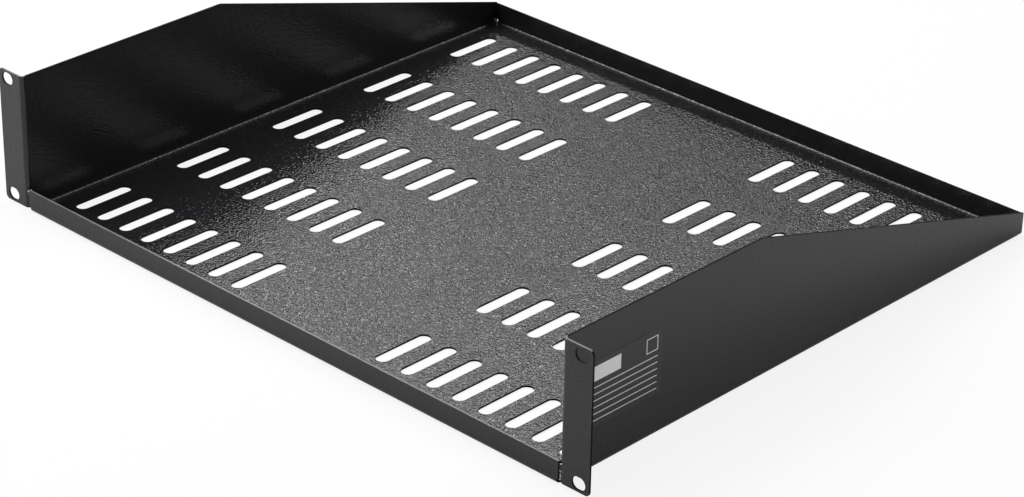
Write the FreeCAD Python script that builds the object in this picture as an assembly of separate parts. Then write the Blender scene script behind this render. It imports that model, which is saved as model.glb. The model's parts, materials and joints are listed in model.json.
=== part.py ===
# Vented rack shelf: a steel sheet, punched with slots and folded into an open tray with rack ears.
# X runs to the right, Y to the back and Z up, in mm. The origin is at the middle of the underside.
import FreeCAD
import Part
import math
import os

Vector = FreeCAD.Vector
RIGHT = Vector(1, 0, 0)
BACK = Vector(0, 1, 0)
UP = Vector(0, 0, 1)

# The sheet and its folds
sheet = 1.2                     # thickness
bend_radius = 1.6               # inside radius of every fold
corner_relief = 0.4             # how far the notch in a lip's fold reaches up past the fold

# The tray
body_width = 440.0              # over the outer faces of the side walls
shelf_depth = 405.0             # from the ears' front face to the back of the rear lip
rack_units = 2
rack_unit = 44.45               # height of a rack unit
height_clearance = 0.4          # what the shelf leaves free of its rack units
level_top = 157.0               # length of the wall's level top edge, from the front
wall_rear_height = 15.2         # the wall's height at the end of its slope
front_lip_height = 14.5
rear_lip_height = 14.9
lip_end_gap = 2.2               # from the front lip's end out to the wall's outer face

# The ears and their rack holes
ear_reach = 20.3                # beyond the wall's outer face
ear_foot = 1.8                  # the ear's lower edge above the underside
ear_corner_radius = 3.0
hole_length = 9.5               # obround, along X
hole_width = 7.7
hole_to_edge = 7.75             # from the hole's centre to the ear's outer edge
unit_hole_gap = 12.7            # between the last hole of a rack unit and the first of the next

# The vent slots in the floor
slot_length = 40.5              # obround, along Y
slot_width = 8.6
slot_pitch = 20.0               # across the tray
row_pitch = 80.0                # along the tray
middle_strip = 120.0            # between the innermost slots' centres
slot_side_margin = 12.0         # least distance from a slot's centre to the wall's fold
slot_end_margin = 15.0          # least distance from a slot's end to a lip's fold

# The weld tacks that close the front corners
tack_radius = 1.7
tack_height = 5.0
tack_below_top = 0.7            # from the lip's top edge down to the tack
tack_bite = 0.4                 # how far the tack melts into the lip's end
tack_taper = 0.9                # chamfer at the tack's ends

# Worked out from the above
bend_outer = bend_radius + sheet
wall_height = rack_units * rack_unit - height_clearance
half_body = body_width / 2
half_panel = half_body + ear_reach
front = -shelf_depth / 2
back = shelf_depth / 2
front_fold = front + bend_outer
back_fold = back - bend_outer
side_fold = half_body - bend_outer
cut_past = 5.0                  # how far a cutter runs past what it cuts


def flange(start, outward, upward, run, height):
    """A quarter fold and the flat leaf beyond it, along run.

    start is on the sheet's inner face where the fold begins, outward points off the sheet's edge,
    upward is the way that the leaf stands, and height is its reach from the sheet's outer face.
    """
    def at(out, up):
        return start + outward * out + upward * up

    diagonal = math.sqrt(0.5)
    outer_middle = at(bend_outer * diagonal, bend_radius - bend_outer * diagonal)
    inner_middle = at(bend_radius * diagonal, bend_radius - bend_radius * diagonal)
    top = height - sheet
    outline = [
        Part.Arc(at(0, -sheet), outer_middle, at(bend_outer, bend_radius)),
        Part.LineSegment(at(bend_outer, bend_radius), at(bend_outer, top)),
        Part.LineSegment(at(bend_outer, top), at(bend_radius, top)),
        Part.LineSegment(at(bend_radius, top), at(bend_radius, bend_radius)),
        Part.Arc(at(bend_radius, bend_radius), inner_middle, at(0, 0)),
        Part.LineSegment(at(0, 0), at(0, -sheet)),
    ]
    return Part.Face(Part.Wire([edge.toShape() for edge in outline])).extrude(run)


def obround(centre, along, across, length, width, through):
    """A round-ended cutter, length by width, that starts at centre and runs along through."""
    straight = along * ((length - width) / 2)
    tip = along * (length / 2)
    side = across * (width / 2)
    outline = [
        Part.LineSegment(centre - straight + side, centre + straight + side),
        Part.Arc(centre + straight + side, centre + tip, centre + straight - side),
        Part.LineSegment(centre + straight - side, centre - straight - side),
        Part.Arc(centre - straight - side, centre - tip, centre - straight + side),
    ]
    return Part.Face(Part.Wire([edge.toShape() for edge in outline])).extrude(through)


def floor_plate():
    """The flat floor between the four folds."""
    return Part.makeBox(2 * side_fold, back_fold - front_fold, sheet, Vector(-side_fold, front_fold, 0))


def wall(side):
    """A side wall with its fold. Its top edge is level at the front and slopes down to the rear."""
    start = Vector(side * side_fold, front_fold, sheet)
    leaf = flange(start, RIGHT * side, UP, BACK * (back - front_fold), wall_height)
    knee = front + level_top
    outline = [
        Vector(0, knee, wall_height),
        Vector(0, back, wall_rear_height),
        Vector(0, back + cut_past, wall_rear_height),
        Vector(0, back + cut_past, wall_height + cut_past),
        Vector(0, knee, wall_height + cut_past),
    ]
    slope = Part.Face(Part.makePolygon(outline + outline[:1])).extrude(RIGHT * side * (half_body + cut_past))
    return leaf.cut(slope)


def lip(fold, outward, height, half_length):
    """An upturned end of the floor. Notches at its ends keep its fold clear of the walls' folds."""
    start = Vector(-half_length, fold, sheet)
    leaf = flange(start, outward, UP, RIGHT * (2 * half_length), height)
    depth = 2 * bend_outer
    notch = Part.makeBox(half_body, depth, bend_outer + corner_relief, Vector(side_fold, fold - depth / 2, 0))
    return leaf.cut([notch, notch.mirror(Vector(), RIGHT)])


def front_lip():
    """The front lip, whose ends stop just short of the ears' folds."""
    return lip(front_fold, -BACK, front_lip_height, half_body - lip_end_gap)


def rear_lip():
    """The rear lip, butted against the walls' inner faces."""
    return lip(back_fold, BACK, rear_lip_height, half_body - sheet)


def ear(side):
    """A rack ear folded outwards from the wall's front edge, with rounded corners and two rack holes."""
    start = Vector(side * half_body, front_fold, ear_foot)
    leaf = flange(start, -BACK, RIGHT * side, UP * (wall_height - ear_foot), ear_reach + sheet)
    corners = [
        edge for edge in leaf.Edges
        if all(abs(abs(vertex.X) - half_panel) < sheet / 10 for vertex in edge.Vertexes)
        and abs(edge.Vertexes[0].Z - edge.Vertexes[-1].Z) < sheet / 10
    ]
    leaf = leaf.makeFillet(ear_corner_radius, corners)
    hole_spacing = rack_units * rack_unit - unit_hole_gap
    middle = (ear_foot + wall_height) / 2
    for height in (middle - hole_spacing / 2, middle + hole_spacing / 2):
        centre = Vector(side * (half_panel - hole_to_edge), front - cut_past, height)
        leaf = leaf.cut(obround(centre, RIGHT, UP, hole_length, hole_width, BACK * (2 * cut_past)))
    return leaf


def weld_tack(side):
    """A bead of weld in the groove between the front lip's end and the ear's fold.

    It melts half way into the sheet of the fold and doesn't show behind it.
    """
    middle = half_body - lip_end_gap + tack_radius - tack_bite
    low = front_lip_height - tack_below_top - tack_height
    bead = Part.makeCylinder(tack_radius, tack_height, Vector(side * middle, front + tack_radius, low))
    rims = [edge for edge in bead.Edges if edge.Closed and len(edge.Vertexes) == 1]
    fold_axis = Vector(side * (half_body + bend_radius), front_fold, 0)
    behind = Part.makeCylinder(bend_radius + sheet / 2, wall_height, fold_axis)
    return bead.makeChamfer(tack_taper, rims).cut(behind)


def vent_slots():
    """Cutters for the vent slots: rows on both sides of a solid middle strip."""
    columns = int((side_fold - slot_side_margin - middle_strip / 2) // slot_pitch) + 1
    rows = int((back_fold - front_fold - 2 * slot_end_margin - slot_length) // row_pitch) + 1
    cutters = []
    for row in range(rows):
        y = (row - (rows - 1) / 2) * row_pitch
        for column in range(columns):
            x = middle_strip / 2 + column * slot_pitch
            for side in (-1, 1):
                centre = Vector(side * x, y, -cut_past)
                cutters.append(obround(centre, BACK, RIGHT, slot_length, slot_width, UP * (2 * cut_past)))
    return cutters


def shelf_tray():
    folds = [front_lip(), rear_lip()]
    for side in (-1, 1):
        folds += [wall(side), ear(side), weld_tack(side)]
    tray = floor_plate().fuse(folds).removeSplitter()
    return tray.cut(vent_slots()).removeSplitter()


os.makedirs("parts", exist_ok=True)
shelf_tray().exportStep("parts/shelf_tray.step")
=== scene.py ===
import json
import math

import bpy
import numpy as np
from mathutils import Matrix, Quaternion, Vector
from mathutils.geometry import delaunay_2d_cdt


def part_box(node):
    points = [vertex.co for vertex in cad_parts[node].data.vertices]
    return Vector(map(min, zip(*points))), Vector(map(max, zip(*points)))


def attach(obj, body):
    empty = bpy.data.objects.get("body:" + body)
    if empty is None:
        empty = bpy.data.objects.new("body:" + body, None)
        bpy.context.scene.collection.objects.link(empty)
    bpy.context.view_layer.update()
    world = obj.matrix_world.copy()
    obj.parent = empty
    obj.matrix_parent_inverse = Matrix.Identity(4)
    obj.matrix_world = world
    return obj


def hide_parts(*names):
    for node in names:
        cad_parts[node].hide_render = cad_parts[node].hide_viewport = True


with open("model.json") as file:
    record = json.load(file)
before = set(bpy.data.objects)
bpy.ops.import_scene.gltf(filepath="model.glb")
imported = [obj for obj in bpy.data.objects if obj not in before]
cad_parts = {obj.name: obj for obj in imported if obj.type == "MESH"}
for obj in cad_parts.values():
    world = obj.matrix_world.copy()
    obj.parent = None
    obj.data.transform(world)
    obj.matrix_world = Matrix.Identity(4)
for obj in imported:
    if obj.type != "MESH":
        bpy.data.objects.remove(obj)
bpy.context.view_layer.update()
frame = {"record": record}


# Sheet blank
# The shelf is one blank of cold-rolled steel. It is drawn flat here, in millimetres, on the middle of the
# sheet: the first axis runs to the right and the second to the rear, with the floor in the middle.
MM = 0.001                               # in metres, the scene's own unit
tray_low, tray_high = (np.array(corner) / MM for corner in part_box("shelf_tray"))
sheet = 1.2
bend_radius = 1.6                        # inside radius of every fold
bend_middle = bend_radius + sheet / 2
bend_outer = bend_radius + sheet
bend_run = bend_middle * math.pi / 2     # length of sheet that a fold takes up
ear_reach = 20.3                         # beyond the wall's outer face
half_body = tray_high[0] - ear_reach
wall_height = tray_high[2]
front, back = tray_low[1], tray_high[1]
side_fold = half_body - bend_outer       # where the floor ends and a fold begins
front_fold = front + bend_outer
back_fold = back - bend_outer

wall_level = 157.0                       # length of the wall's level top edge
wall_rear_height = 15.2
front_lip_height = 14.5
rear_lip_height = 14.9
lip_end_gap = 1.8                        # from the front lip's end out to the wall's outer face
notch_rise = 0.4                         # how far the notches at the lips' ends reach up past the fold
notch_height = bend_outer + notch_rise
notch_round = 0.25                       # inner corner of a front notch
ear_foot = 1.8                           # the ear's lower edge above the underside
ear_corner = 3.0
ear_slit = 0.3                           # cut that frees the ear's foot from the wall's fold
slit_round = 0.12
relief = 0.2                             # half width of the slit in a rear corner
relief_round = 0.18
corner_round = 0.5                       # punched corners, softened by the coat
edge_rim = 0.15                          # radius of the sheet's cut edges under the coat
lip_corner = 0.165                       # lower corner of the front lip's end, just over its rim's radius
arc_step = math.radians(16)              # an outline turns by less than this from point to point


def past_fold(height):
    """Distance on the blank from a fold line to the point that stands at this height once folded."""
    return bend_run + height - bend_outer


wall_top = side_fold + past_fold(wall_height)
ear_low = side_fold + past_fold(ear_foot)
ear_join = side_fold + bend_run
ear_tip = front_fold - bend_run - (ear_reach - bend_radius)
front_lip_end = half_body - lip_end_gap
rear_lip_end = half_body - sheet
front_tip = front_fold - past_fold(front_lip_height)
rear_tip = back_fold + past_fold(rear_lip_height)
front_notch = front_fold - past_fold(notch_height)
rear_notch = back_fold + past_fold(notch_height)

right_corners = [
    # across, along, radius
    (front_lip_end, front_tip, corner_round),
    (front_lip_end, front_notch, lip_corner),
    (side_fold, front_notch, notch_round),
    (side_fold, front_fold, corner_round),
    (ear_join, front_fold, slit_round),
    (ear_join, front_fold - ear_slit, slit_round),
    (ear_low, front_fold - ear_slit, corner_round),
    (ear_low, ear_tip, ear_corner),
    (wall_top, ear_tip, ear_corner),
    (wall_top, front + wall_level, corner_round),
    (side_fold + past_fold(wall_rear_height), back, corner_round),
    (side_fold + relief, back, corner_round),
    (side_fold + relief, back_fold, relief_round),
    (side_fold - relief, back_fold, relief_round),
    (side_fold - relief, rear_notch, corner_round),
    (rear_lip_end, rear_notch, corner_round),
    (rear_lip_end, rear_tip, corner_round),
]
left_corners = [(-across, along, radius) for across, along, radius in reversed(right_corners)]


def rounded_outline(corners, rim):
    """A closed outline, counterclockwise, from corners that are each a place and a radius.

    It is its points, the way out of the sheet at each of them, and the radius of its rim.
    """
    points, ways_out = [], []
    places = np.array(corners)
    for before, corner, after in zip(np.roll(places, 1, 0), places, np.roll(places, -1, 0)):
        come = (corner - before)[:2] / np.linalg.norm((corner - before)[:2])
        go = (after - corner)[:2] / np.linalg.norm((after - corner)[:2])
        turn = math.atan2(come[0] * go[1] - come[1] * go[0], come @ go)
        radius = math.copysign(corner[2], turn)
        out = np.array((come[1], -come[0]))
        centre = corner[:2] - come * abs(radius * math.tan(turn / 2)) - out * radius
        for angle in np.linspace(0, turn, 2 + int(abs(turn) / arc_step)):
            way = out * math.cos(angle) + np.array((-out[1], out[0])) * math.sin(angle)
            points.append(centre + way * radius)
            ways_out.append(way)
    return np.array(points), np.array(ways_out), rim


# Punched holes
# Rows of vent slots on both sides of a solid middle strip, and two slotted rack holes in each ear. The rack
# holes stand where the record's bolt pattern has them. The punch leaves their rims crisp.
slot_length, slot_width = 40.5, 8.6
slot_pitch, row_pitch = 20.0, 80.0
middle_strip = 120.0                     # between the innermost slots' centres
slot_columns, slot_rows = 8, 5           # columns on each side of the strip
slot_rim = 0.1
slot_arc_steps = 14


def punched_slot(centre, length, width):
    """Outline of a round-ended hole along the shelf, in the form that rounded_outline gives.

    It runs clockwise, so that the sheet is on its left all the way.
    """
    across, along = np.eye(2)
    angles = np.linspace(0, math.pi, slot_arc_steps + 1)
    points, ways_out = [], []
    for end in (1, -1):
        for angle in angles:
            way = end * (math.sin(angle) * along - math.cos(angle) * across)
            points.append(np.array(centre) + end * along * (length - width) / 2 + way * width / 2)
            ways_out.append(-way)
    return np.array(points), np.array(ways_out), slot_rim


punched = []
for row in range(slot_rows):
    slot_along = (row - (slot_rows - 1) / 2) * row_pitch
    for column in range(slot_columns):
        slot_across = middle_strip / 2 + column * slot_pitch
        for side in (-1, 1):
            punched.append(punched_slot((side * slot_across, slot_along), slot_length, slot_width))

rack_holes = next(mount for mount in frame["record"]["mounts"] if mount["name"] == "rack_holes")
hole_sizes = rack_holes["dims"]
hole_out = bend_run + hole_sizes["spacing_x_mm"] / 2 - (half_body + bend_radius)
for level in (-1, 1):
    hole_height = rack_holes["pos_m"][2] / MM + level * hole_sizes["spacing_y_mm"] / 2
    for side in (-1, 1):
        hole_centre = (side * (side_fold + past_fold(hole_height)), front_fold - hole_out)
        punched.append(punched_slot(hole_centre, hole_sizes["slot_length_mm"], 2 * hole_sizes["hole_r_mm"]))


# Folded tray
# The press brake folds the blank up into walls and lips, and each wall's front end out into an ear. Punching
# and coating leave every rim rounded, and each fold's curve is kept in rows of points.
fold_steps = 8
fold_rows = bend_run * np.arange(fold_steps + 1) / fold_steps
row_end = 0.8                            # how far a fold's inner rows stay from the rims
shortest_run = sheet / 10                # the least length of an outline's run that takes points in a fold
straightness = sheet / 100               # how far such a run may stray from square to the fold
end_share = 0.01                         # share of such a run, at both ends, that takes no points
rim_steps = 3
triangles_inside = 1                     # has the triangulation keep what lies inside the outlines
same_point = 1e-5                        # points closer than this are taken as one
normal_step = 0.001                      # shift that shows which way is out of the folded sheet


def turned(run, over):
    """How far out from a fold line, and up from the sheet's middle, the fold takes points of the blank.

    run is their distance past the fold line, and over is their height on the fold's inside.
    """
    angle = np.clip(run, 0, bend_run) / bend_middle
    out = np.minimum(run, 0) + (bend_middle - over) * np.sin(angle)
    up = bend_middle - (bend_middle - over) * np.cos(angle) + np.maximum(run - bend_run, 0)
    return out, up


def folded(places):
    """Where points of the blank, (right, rear, over the middle), lie on the folded tray."""
    right, rear, over = places.T
    side, across = np.sign(right), np.abs(right)
    lip_out, lip_up = turned(np.abs(rear) - back_fold, over)
    floor_or_lip = np.stack((right, np.sign(rear) * (back_fold + lip_out), lip_up), 1)
    wall_out, wall_up = turned(across - side_fold, over)
    wall = np.stack((side * (side_fold + wall_out), rear, wall_up), 1)
    ear_out, ear_up = turned(front_fold - rear, -over)
    ear_height = bend_middle + across - side_fold - bend_run
    ear = np.stack((side * (side_fold + bend_middle + ear_up), front_fold - ear_out, ear_height), 1)
    ahead = rear < front_fold - ear_slit / 2
    on_ear = ahead & (across > (front_lip_end + ear_low) / 2)
    on_wall = (across > side_fold) & ~ahead & (rear < back + row_end / 2)
    place = np.where(on_ear[:, None], ear, np.where(on_wall[:, None], wall, floor_or_lip))
    return place + (0, 0, sheet / 2)


def stamped_piece(name, outlines, rows, thickness, place, rim_index):
    """A plate with rounded rims.

    The first outline is its edge and the others are holes. The rows are lines that its faces keep to, place
    puts its points in space, and rim_index says which of its materials the rims take.
    """
    flat_points, flat_edges, flat_faces = [], [], []
    for points, ways_out, rim in outlines:
        first = len(flat_points)
        flat_points += [Vector(point) for point in points - ways_out * rim]
        flat_faces.append(list(range(first, len(flat_points))))
    for start, end in rows:
        flat_edges.append((len(flat_points), len(flat_points) + 1))
        flat_points += [Vector(start), Vector(end)]
    fences = flat_faces[:1] + [face[::-1] for face in flat_faces[1:]]
    laid, _, faces, was_point, _, was_face = delaunay_2d_cdt(
        flat_points, flat_edges, fences, triangles_inside, same_point,
    )
    index_of = {old: new for new, olds in enumerate(was_point) for old in olds}
    kept = [face for face, inside in zip(faces, was_face) if inside == [0]]

    half = thickness / 2
    count = len(laid)
    flat = np.array([tuple(point) for point in laid])
    upright = np.tile((0.0, 0.0, 1.0), (count, 1))
    blank = [np.column_stack((flat, np.full(count, half))), np.column_stack((flat, np.full(count, -half)))]
    ways = [upright, -upright]
    polygons = [tuple(face) for face in kept]
    polygons += [tuple(index + count for index in reversed(face)) for face in kept]
    flat_count = len(polygons)
    rim_angles = np.linspace(0, math.pi / 2, rim_steps + 1)[1:]
    quarter = [(math.sin(angle), math.cos(angle)) for angle in rim_angles]
    turns = [(outward, upward, 1) for outward, upward in quarter]
    turns += [(outward, -upward, -1) for outward, upward in reversed(quarter)]
    total = 2 * count
    for (points, ways_out, rim), face in zip(outlines, flat_faces):
        levels = [[index_of[index] for index in face]]
        for outward, upward, half_of in turns:
            levels.append(list(range(total, total + len(points))))
            total += len(points)
            level_points = points - ways_out * rim * (1 - outward)
            over = half_of * (half - rim) + rim * upward
            blank.append(np.column_stack((level_points, np.full(len(points), over))))
            ways.append(np.column_stack((ways_out * outward, np.full(len(points), upward))))
        levels.append([index + count for index in levels[0]])
        for upper, lower in zip(levels, levels[1:]):
            for at in range(len(face)):
                then = (at + 1) % len(face)
                polygons.append((upper[at], lower[at], lower[then], upper[then]))

    blank, ways = np.concatenate(blank), np.concatenate(ways)
    in_space = place(blank)
    normals = (place(blank + ways * normal_step) - in_space) / normal_step
    normals /= np.linalg.norm(normals, axis=1)[:, None]
    mesh = bpy.data.meshes.new(name)
    mesh.from_pydata((in_space * MM).tolist(), [], polygons)
    on_rim = np.arange(len(polygons)) >= flat_count
    mesh.polygons.foreach_set("material_index", np.where(on_rim, rim_index, 0).astype(np.int32))
    mesh.validate()
    mesh.shade_smooth()
    mesh.normals_split_custom_set_from_vertices(normals.tolist())
    piece = bpy.data.objects.new(name, mesh)
    bpy.context.scene.collection.objects.link(piece)
    return piece


def with_fold_points(outline):
    """The outline with points added where straight runs of it cross the rows of a fold."""
    points, ways_out, rim = outline
    crossings = [
        np.concatenate((side_fold + fold_rows, -side_fold - fold_rows)),
        np.concatenate((front_fold - fold_rows, back_fold + fold_rows)),
    ]
    more_points, more_ways = [], []
    for at, (point, way) in enumerate(zip(points, ways_out)):
        after = points[(at + 1) % len(points)]
        more_points.append(point)
        more_ways.append(way)
        for axis in (0, 1):
            run = after[axis] - point[axis]
            if abs(run) < shortest_run or abs(after[1 - axis] - point[1 - axis]) > straightness:
                continue
            shares = sorted((value - point[axis]) / run for value in crossings[axis])
            for share in shares:
                if end_share < share < 1 - end_share:
                    more_points.append(point + (after - point) * share)
                    more_ways.append(way)
    return np.array(more_points), np.array(more_ways), rim


rows = []
for run in fold_rows:
    for side in (-1, 1):
        wall_row = side * (side_fold + run)
        rows.append(((wall_row, front_fold + row_end), (wall_row, back_fold - row_end)))
        ear_row = front_fold - run
        rows.append(((side * (ear_join + row_end), ear_row), (side * (wall_top - row_end), ear_row)))
    for lip_row in (front_fold - run, back_fold + run):
        lip_half = side_fold - relief - row_end
        rows.append(((-lip_half, lip_row), (lip_half, lip_row)))

edge_outline = with_fold_points(rounded_outline(right_corners + left_corners, edge_rim))
# The rims take the second material, the thin coat, whose dark colour is painted shade.
tray = stamped_piece("folded_tray", [edge_outline] + punched, rows, sheet, folded, rim_index=1)
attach(tray, "root")
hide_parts("shelf_tray")


def linear_colour(hex_colour):
    """An sRGB hex colour as linear red, green, blue and alpha."""
    parts = [int(hex_colour[at:at + 2], 16) / 255 for at in (1, 3, 5)]
    return [p / 12.92 if p <= 0.04045 else ((p + 0.055) / 1.055) ** 2.4 for p in parts] + [1.0]


def add_node(material, kind, inputs=None, **settings):
    """Adds a node with its settings. An input is a value, or a socket to link from."""
    tree = material.node_tree
    made = tree.nodes.new(kind)
    for name, value in settings.items():
        setattr(made, name, value)
    for name, value in (inputs or {}).items():
        if isinstance(value, bpy.types.NodeSocket):
            tree.links.new(value, made.inputs[name])
        else:
            made.inputs[name].default_value = value
    return made


def new_material(name):
    """A material with no nodes yet."""
    material = bpy.data.materials.new(name)
    material.use_nodes = True
    material.node_tree.nodes.clear()
    return material


# Black polyester powder coat, sprayed dry and baked. On the level faces it flows into a leathery skin of
# low pebbles, which break reflections up into specks, and on the upright ones it lies smoother. The real
# pebbles are finer, and are drawn as coarse as they need to show.
pebble = 1.35 * MM
pebble_height = 0.3 * MM
upright_share = 0.5                      # height of the pebbles on upright faces, against the level ones
upright_up = 0.3                         # a face whose normal rises no more than this counts as upright
level_up = 0.9                           # and one whose normal rises at least this much as level
upright_roughness, level_roughness = 0.22, 0.1
coat_turn = (0.5, 0.3, 0.7)              # radians, so that the pattern's own grid lies askew to the faces
coat_ior = 1.43
powder_coat = new_material("black_powder_coat")
coat_at = add_node(powder_coat, "ShaderNodeTexCoord")
coat_turned = add_node(
    powder_coat, "ShaderNodeVectorRotate",
    {"Vector": coat_at.outputs["Object"], "Rotation": coat_turn},
    rotation_type="EULER_XYZ",
)
facing = add_node(powder_coat, "ShaderNodeSeparateXYZ", {"Vector": coat_at.outputs["Normal"]})
coat_relief = add_node(
    powder_coat, "ShaderNodeMapRange",
    {
        "Value": facing.outputs["Z"],
        "From Min": upright_up,
        "From Max": level_up,
        "To Min": upright_share * pebble_height,
        "To Max": pebble_height,
    },
)
coat_dullness = add_node(
    powder_coat, "ShaderNodeMapRange",
    {
        "Value": facing.outputs["Z"],
        "From Min": upright_up,
        "From Max": level_up,
        "To Min": upright_roughness,
        "To Max": level_roughness,
    },
)
pebbles = add_node(
    powder_coat, "ShaderNodeTexNoise",
    {"Vector": coat_turned.outputs["Vector"], "Scale": 1 / pebble, "Detail": 0.0},
)
pebble_bump = add_node(
    powder_coat, "ShaderNodeBump",
    {"Height": pebbles.outputs["Fac"], "Distance": coat_relief.outputs["Result"]},
)
coat = add_node(
    powder_coat, "ShaderNodeBsdfPrincipled",
    {
        "Base Color": linear_colour("#18181a"),
        "Roughness": coat_dullness.outputs["Result"],
        "IOR": coat_ior,
        "Normal": pebble_bump.outputs["Normal"],
    },
)
add_node(powder_coat, "ShaderNodeOutputMaterial", {"Surface": coat.outputs["BSDF"]})
tray.data.materials.append(powder_coat)

# Powder coat on the cut edges and the walls of the holes. Little of the spray stays there, so they are dull,
# with a fine grit, which is drawn coarser than the real one. Their dark colour and weak reflection are
# painted shade.
grit = 0.4 * MM
grit_height = 0.04 * MM
thin_coat_painted_shade = new_material("thin_powder_coat_painted_shade")
thin_at = add_node(thin_coat_painted_shade, "ShaderNodeTexCoord").outputs["Object"]
thin_grit = add_node(thin_coat_painted_shade, "ShaderNodeTexNoise", {"Vector": thin_at, "Scale": 1 / grit, "Detail": 1.0})
thin_bump = add_node(
    thin_coat_painted_shade, "ShaderNodeBump", {"Height": thin_grit.outputs["Fac"], "Distance": grit_height},
)
dull = add_node(
    thin_coat_painted_shade, "ShaderNodeBsdfPrincipled",
    {
        "Base Color": linear_colour("#0a0a0b"),
        "Roughness": 0.6,
        "IOR": coat_ior,
        "Specular IOR Level": 0.1,
        "Normal": thin_bump.outputs["Normal"],
    },
)
add_node(thin_coat_painted_shade, "ShaderNodeOutputMaterial", {"Surface": dull.outputs["BSDF"]})
tray.data.materials.append(thin_coat_painted_shade)

# Uneven grey coat along the upper edges of the front lip and the ears. The grey is a painted highlight, for
# the light caught along those edges.
highlight_patch = 4 * MM
painted_highlight_coat = new_material("painted_highlight_powder_coat")
highlight_at = add_node(painted_highlight_coat, "ShaderNodeTexCoord").outputs["Object"]
highlight_patches = add_node(
    painted_highlight_coat, "ShaderNodeTexNoise", {"Vector": highlight_at, "Scale": 1 / highlight_patch, "Detail": 2.0},
)
highlight_colour = add_node(painted_highlight_coat, "ShaderNodeValToRGB", {"Fac": highlight_patches.outputs["Fac"]})
highlight_colour.color_ramp.elements[0].color = linear_colour("#4a4a4b")
highlight_colour.color_ramp.elements[1].color = linear_colour("#7c7c7e")
highlight_grey = add_node(
    painted_highlight_coat, "ShaderNodeBsdfPrincipled",
    {"Base Color": highlight_colour.outputs["Color"], "Roughness": 0.35, "IOR": coat_ior},
)
add_node(painted_highlight_coat, "ShaderNodeOutputMaterial", {"Surface": highlight_grey.outputs["BSDF"]})
highlight_index = len(tray.data.materials)
tray.data.materials.append(painted_highlight_coat)
# The rims along the upper edges of the front lip and the ears take the grey of the painted highlight.
for face in tray.data.polygons:
    across, along, high = face.center / MM
    if face.material_index and along < front_fold:
        upper_edge = front_lip_height if abs(across) < front_lip_end else wall_height
        if abs(high - upper_edge) < sheet / 2:
            face.material_index = highlight_index


# Weld tacks
# A tack of weld closes the groove between each end of the front lip and the ear beside it. It is a small
# rippled bead with a crater that slopes to the front, drawn in pale bare metal as a painted highlight. Its
# root shows above it, at the back of the groove, as a dark bead in the thin coat, which is painted shade.
tack_inset = 1.0                         # from the wall's outer face in to the bead's middle
tack_setback = 0.1                       # from the lip's front face back to the bead's front
tack_drop = 2.3                          # from the lip's top edge down to the bead's middle
tack_radius = (1.6, 1.3, 3.2)            # across, along and up
tack_ripple = 0.05                       # how far a ripple swells the bead, as a share of its radius
tack_ripples = 5                         # from end to end
crater_slope = math.radians(30)          # down to the front
crater_lean = math.radians(6)            # towards the lip
crater_level = 1.1                       # height of the crater over the bead's middle, square to its slope
crater_flatness = 0.9
root_inset = 1.1                         # the root's middle, from the wall's outer face
root_setback = 1.6                       # from the lip's front face
root_drop = 1.5                          # and from the lip's top edge
root_radius = (1.1, 0.8, 1.5)
root_level = max(root_radius)            # nothing of the root reaches this level, so that it has no crater
bead_rings, bead_sides = 22, 28

# Weld metal, bare and pale on the crater: a painted highlight for the glint on the tack. It is dull silver,
# with fine scratches that are drawn coarser than the real ones.
scratch = 0.5 * MM
least_roughness, most_roughness = 0.25, 0.45
crater_highlight_metal = new_material("bare_weld_metal_painted_highlight")
weld_at = add_node(crater_highlight_metal, "ShaderNodeTexCoord").outputs["Object"]
scratches = add_node(
    crater_highlight_metal, "ShaderNodeTexNoise", {"Vector": weld_at, "Scale": 1 / scratch, "Detail": 1.0},
)
weld_gloss = add_node(
    crater_highlight_metal, "ShaderNodeMapRange",
    {"Value": scratches.outputs["Fac"], "To Min": least_roughness, "To Max": most_roughness},
)
bare = add_node(
    crater_highlight_metal, "ShaderNodeBsdfPrincipled",
    {"Base Color": linear_colour("#9a9a98"), "Metallic": 1.0, "Roughness": weld_gloss.outputs["Result"]},
)
add_node(crater_highlight_metal, "ShaderNodeOutputMaterial", {"Surface": bare.outputs["BSDF"]})

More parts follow.
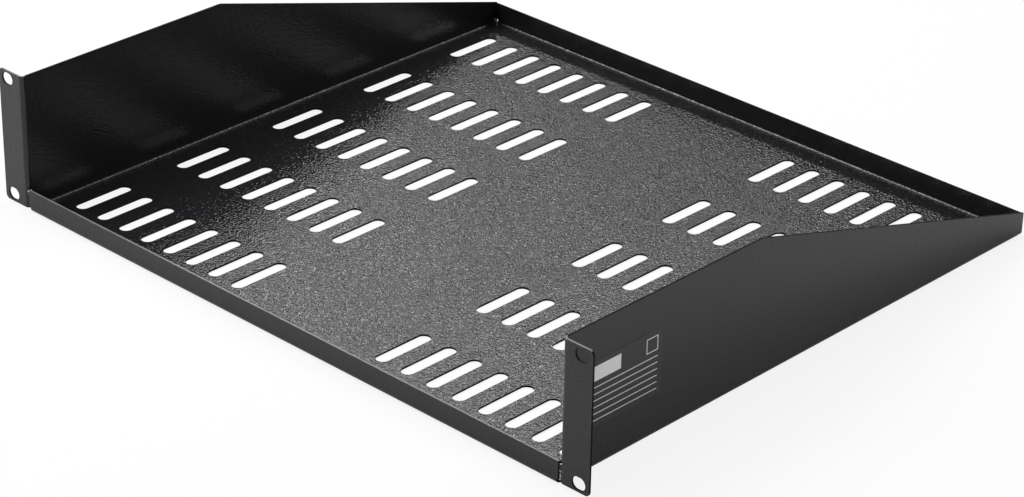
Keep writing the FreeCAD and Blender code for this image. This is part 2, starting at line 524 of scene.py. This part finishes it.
beads = []
for side, hand in ((-1, "left"), (1, "right")):
    tack_middle = (
        side * (half_body - tack_inset),
        front + tack_setback + (1 + tack_ripple) * tack_radius[1],
        front_lip_height - tack_drop,
    )
    tack_finish = [powder_coat, crater_highlight_metal]
    beads.append((side, "weld_tack_" + hand, tack_middle, tack_radius, crater_level, tack_finish))
    # The root is a dark bead in the thin coat, put at the back of the groove as painted shade.
    root_middle = (side * (half_body - root_inset), front + root_setback, front_lip_height - root_drop)
    beads.append((side, "weld_root_painted_shade_" + hand, root_middle, root_radius, root_level, [thin_coat_painted_shade]))
for side, bead_name, bead_middle, bead_radius, cut_level, bead_finish in beads:
    bead_points = [np.array((0, 0, bead_radius[2])), np.array((0, 0, -bead_radius[2]))]
    bead_faces = []
    poles = len(bead_points)
    for ring in range(1, bead_rings):
        tilt = math.pi * ring / bead_rings
        swell = 1 + tack_ripple * math.sin(tack_ripples * 2 * tilt)
        for step in range(bead_sides):
            turn = 2 * math.pi * step / bead_sides
            flat_way = math.sin(tilt) * swell * np.array((math.cos(turn), math.sin(turn), 0))
            bead_points.append((flat_way + (0, 0, math.cos(tilt))) * bead_radius)
    last_ring = len(bead_points) - bead_sides
    for ring_start in range(poles, last_ring, bead_sides):
        for step in range(bead_sides):
            here = ring_start + step
            then = ring_start + (step + 1) % bead_sides
            bead_faces.append((here, here + bead_sides, then + bead_sides, then))
    for step in range(bead_sides):
        then = (step + 1) % bead_sides
        bead_faces.append((0, poles + step, poles + then))
        bead_faces.append((1, last_ring + then, last_ring + step))
    bead_points = np.array(bead_points)
    crater_way = np.array((-side * math.sin(crater_lean), -math.sin(crater_slope), math.cos(crater_slope)))
    crater_way /= np.linalg.norm(crater_way)
    over_crater = np.maximum(bead_points @ crater_way - cut_level, 0)
    bead_points -= crater_flatness * over_crater[:, None] * crater_way
    bead_mesh = bpy.data.meshes.new(bead_name)
    bead_mesh.from_pydata(((bead_points + bead_middle) * MM).tolist(), [], bead_faces)
    bead_mesh.shade_smooth()
    for finish in bead_finish:
        bead_mesh.materials.append(finish)
    # The crater's faces take the bead's second finish: for a tack, the metal of the painted highlight.
    in_crater = [all(over_crater[corner] > 0 for corner in face) for face in bead_faces]
    bead_mesh.polygons.foreach_set("material_index", np.array(in_crater, np.int32))
    bead = bpy.data.objects.new(bead_name, bead_mesh)
    bpy.context.scene.collection.objects.link(bead)
    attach(bead, "root")


# Film label
# A black polyester film with ruled lines and a field to write on, stuck on the outside of the right wall
# behind the ear. The lines are screen printed.
label_length, label_height = 60.0, 39.9
label_front = -185.8                     # the front edge, from the middle of the shelf's depth
label_low = 25.6                         # the lower edge, from the underside
label_thickness = 0.12
label_round = 1.5
label_rim = 0.04                         # radius of the film's cut edge
label_corners = [
    (label_front, label_low, label_round),
    (label_front + label_length, label_low, label_round),
    (label_front + label_length, label_low + label_height, label_round),
    (label_front, label_low + label_height, label_round),
]


def on_right_wall(places):
    """Points (rear, up, out) of a plate that lies on the right wall's outer face."""
    rear, up, out = places.T
    return np.stack((half_body + label_thickness / 2 + out, rear, up), 1)


label_outline = rounded_outline(label_corners, label_rim)
label = stamped_piece("film_label", [label_outline], [], label_thickness, on_right_wall, rim_index=0)

# Black polyester film, cast smooth. Slight waves in it keep its sheen soft.
film_wave = 0.8 * MM
film_wave_height = 0.016 * MM
label_film = new_material("black_label_film")
film_at = add_node(label_film, "ShaderNodeTexCoord").outputs["Object"]
film_waves = add_node(
    label_film, "ShaderNodeTexNoise", {"Vector": film_at, "Scale": 1 / film_wave, "Detail": 1.0},
)
film_bump = add_node(
    label_film, "ShaderNodeBump", {"Height": film_waves.outputs["Fac"], "Distance": film_wave_height},
)
film = add_node(
    label_film, "ShaderNodeBsdfPrincipled",
    {
        "Base Color": linear_colour("#161618"),
        "Roughness": 0.34,
        "IOR": 1.5,
        "Normal": film_bump.outputs["Normal"],
    },
)
add_node(label_film, "ShaderNodeOutputMaterial", {"Surface": film.outputs["BSDF"]})
label.data.materials.append(label_film)
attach(label, "root")

ink_thickness = 0.03
label_margin = 3.5
line_width = 0.5
line_pitch = 4.0
line_count = 6
ruled_length = label_length - 2 * label_margin
field_low = label_margin + line_count * line_pitch
field_height = label_height - label_margin - field_low
field_length = 24.0
box_length = 9.0
box_start = label_length - label_margin - box_length
printed = []
for line in range(line_count):
    printed.append((label_margin, label_margin + line * line_pitch, ruled_length, line_width))
printed.append((label_margin, field_low, field_length, field_height))
for edge in (0, field_height - line_width):
    printed.append((box_start, field_low + edge, box_length, line_width))
for edge in (0, box_length - line_width):
    printed.append((box_start + edge, field_low + line_width, line_width, field_height - 2 * line_width))

ink_points, ink_faces = [], []
for along, up, length, height in printed:
    base = len(ink_points)
    for out in (half_body + label_thickness, half_body + label_thickness + ink_thickness):
        for rear, high in ((0, 0), (length, 0), (length, height), (0, height)):
            ink_points.append((out, label_front + along + rear, label_low + up + high))
    corners = [(0, 3, 2, 1), (4, 5, 6, 7)]
    corners += [(at, (at + 1) % 4, (at + 1) % 4 + 4, at + 4) for at in range(4)]
    ink_faces += [tuple(base + corner for corner in face) for face in corners]
ink_mesh = bpy.data.meshes.new("label_ruling")
ink_mesh.from_pydata((np.array(ink_points) * MM).tolist(), [], ink_faces)
ruling = bpy.data.objects.new("label_ruling", ink_mesh)
bpy.context.scene.collection.objects.link(ruling)

# Pale screen ink, matt and a little thinner in some patches than in others.
ink_patch = 1.5 * MM
pale_ink = new_material("pale_screen_ink")
ink_at = add_node(pale_ink, "ShaderNodeTexCoord").outputs["Object"]
ink_patches = add_node(
    pale_ink, "ShaderNodeTexNoise", {"Vector": ink_at, "Scale": 1 / ink_patch, "Detail": 2.0},
)
ink_colour = add_node(pale_ink, "ShaderNodeValToRGB", {"Fac": ink_patches.outputs["Fac"]})
ink_colour.color_ramp.elements[0].color = linear_colour("#e4e4e4")
ink_colour.color_ramp.elements[1].color = linear_colour("#fbfbfb")
ink = add_node(
    pale_ink, "ShaderNodeBsdfPrincipled",
    {"Base Color": ink_colour.outputs["Color"], "Roughness": 0.55, "IOR": 1.5},
)
add_node(pale_ink, "ShaderNodeOutputMaterial", {"Surface": ink.outputs["BSDF"]})
ink_mesh.materials.append(pale_ink)
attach(ruling, "root")


# Studio
# A pale sheet of paper under the shelf, an even sky, three softboxes above the shelf and around it, and
# strip lamps behind it on the left. Lengths are in metres from here on.
floor_half = 12.0                        # from the middle of the paper to its edges
floor_drop = 0.0002                      # keeps the paper clear of the shelf's underside
floor_mesh = bpy.data.meshes.new("paper_floor")
floor_mesh.from_pydata(
    [(x * floor_half, y * floor_half, -floor_drop) for x, y in ((-1, -1), (1, -1), (1, 1), (-1, 1))],
    [], [(0, 1, 2, 3)],
)
paper_floor = bpy.data.objects.new("paper_floor", floor_mesh)
bpy.context.scene.collection.objects.link(paper_floor)

# White paper, matt. It glows a little, so that it looks white under light that suits the shelf.
seen_glow = 0.85                         # share of plain white, so that the paper's shadows stay pale
mirrored_glow = 0.15                     # the same in what the coat mirrors
paper = new_material("white_paper")
path = add_node(paper, "ShaderNodeLightPath")
seen = add_node(
    paper, "ShaderNodeMath", {0: path.outputs["Is Camera Ray"], 1: path.outputs["Is Transmission Ray"]},
    operation="ADD",
)
seen_share = add_node(paper, "ShaderNodeMath", {0: seen.outputs[0], 1: seen_glow}, operation="MULTIPLY")
glow_share = add_node(
    paper, "ShaderNodeMath",
    {0: path.outputs["Is Glossy Ray"], 1: mirrored_glow, 2: seen_share.outputs[0]},
    operation="MULTIPLY_ADD", use_clamp=True,
)
paper_shade = add_node(paper, "ShaderNodeBsdfDiffuse", {"Color": linear_colour("#dcdcdc")})
paper_white = add_node(paper, "ShaderNodeEmission", {"Color": linear_colour("#ffffff"), "Strength": 1.0})
paper_mix = add_node(
    paper, "ShaderNodeMixShader",
    {0: glow_share.outputs[0], 1: paper_shade.outputs["BSDF"], 2: paper_white.outputs["Emission"]},
)
add_node(paper, "ShaderNodeOutputMaterial", {"Surface": paper_mix.outputs["Shader"]})
floor_mesh.materials.append(paper)

sky_strength = 0.35
world = bpy.data.worlds.new("studio_sky")
world.use_nodes = True
sky = world.node_tree.nodes["Background"]
sky.inputs["Color"].default_value = linear_colour("#ffffff")
sky.inputs["Strength"].default_value = sky_strength
bpy.context.scene.world = world

strip_side = -2.2                        # the strip lamps hang on the left, parallel to the rear lip
strip_reach = 2.6                        # from the point on the paper that a strip faces
strip_length = 2.4
strip_low = math.radians(38)             # rise of the lowest strip's lower edge
strip_pitch = math.radians(16)
strip_fill = 0.33                        # share of the pitch that is lit
strip_count = 2
strip_radiance = 7.3
softboxes = [
    # name, place, point that it faces, width, height, radiance
    ("overhead_softbox", (-0.56, 0.26, 1.9), (0, 0, 0), 1.6, 1.6, 2.2),
    ("left_softbox", (-0.95, -0.5, 1.3), (0, 0, 0), 0.85, 0.8, 9.0),
    ("right_softbox", (0.69, 1.71, 1.84), (0, 0, 0), 1.2, 0.8, 4.5),
]
for strip in range(strip_count):
    strip_name = f"back_strip_{strip + 1}"
    rise = strip_low + (strip + strip_fill / 2) * strip_pitch
    strip_place = (strip_side, strip_reach * math.cos(rise), strip_reach * math.sin(rise))
    strip_faces = (strip_side, 0, 0)
    strip_height = strip_reach * strip_pitch * strip_fill
    softboxes.append((strip_name, strip_place, strip_faces, strip_length, strip_height, strip_radiance))
for name, place, faces, width, height, radiance in softboxes:
    softbox_data = bpy.data.lights.new(name, "AREA")
    softbox_data.shape = "RECTANGLE"
    softbox_data.size, softbox_data.size_y = width, height
    softbox_data.energy = math.pi * width * height * radiance
    softbox = bpy.data.objects.new(name, softbox_data)
    softbox.location = place
    softbox.rotation_mode = "QUATERNION"
    softbox.rotation_quaternion = (Vector(faces) - Vector(place)).to_track_quat("-Z", "Y")
    bpy.context.scene.collection.objects.link(softbox)


# Camera
# It stands to the right of the front, above the shelf, with a long lens and a slight roll.
camera_data = bpy.data.cameras.new("camera")
camera_data.lens = 114.247
camera_data.clip_end = 100
camera = bpy.data.objects.new("camera", camera_data)
camera.location = (1.1894, -1.2671, 0.8959)
camera_aim = Vector((0.0180, -0.02896, 0.0))
camera_roll = math.radians(1.069)
camera.rotation_mode = "QUATERNION"
camera_level = (camera_aim - camera.location).to_track_quat("-Z", "Y")
camera.rotation_quaternion = camera_level @ Quaternion((0, 0, 1), camera_roll)
bpy.context.scene.collection.objects.link(camera)
bpy.context.scene.camera = camera
bpy.context.scene.view_settings.view_transform = "Standard"
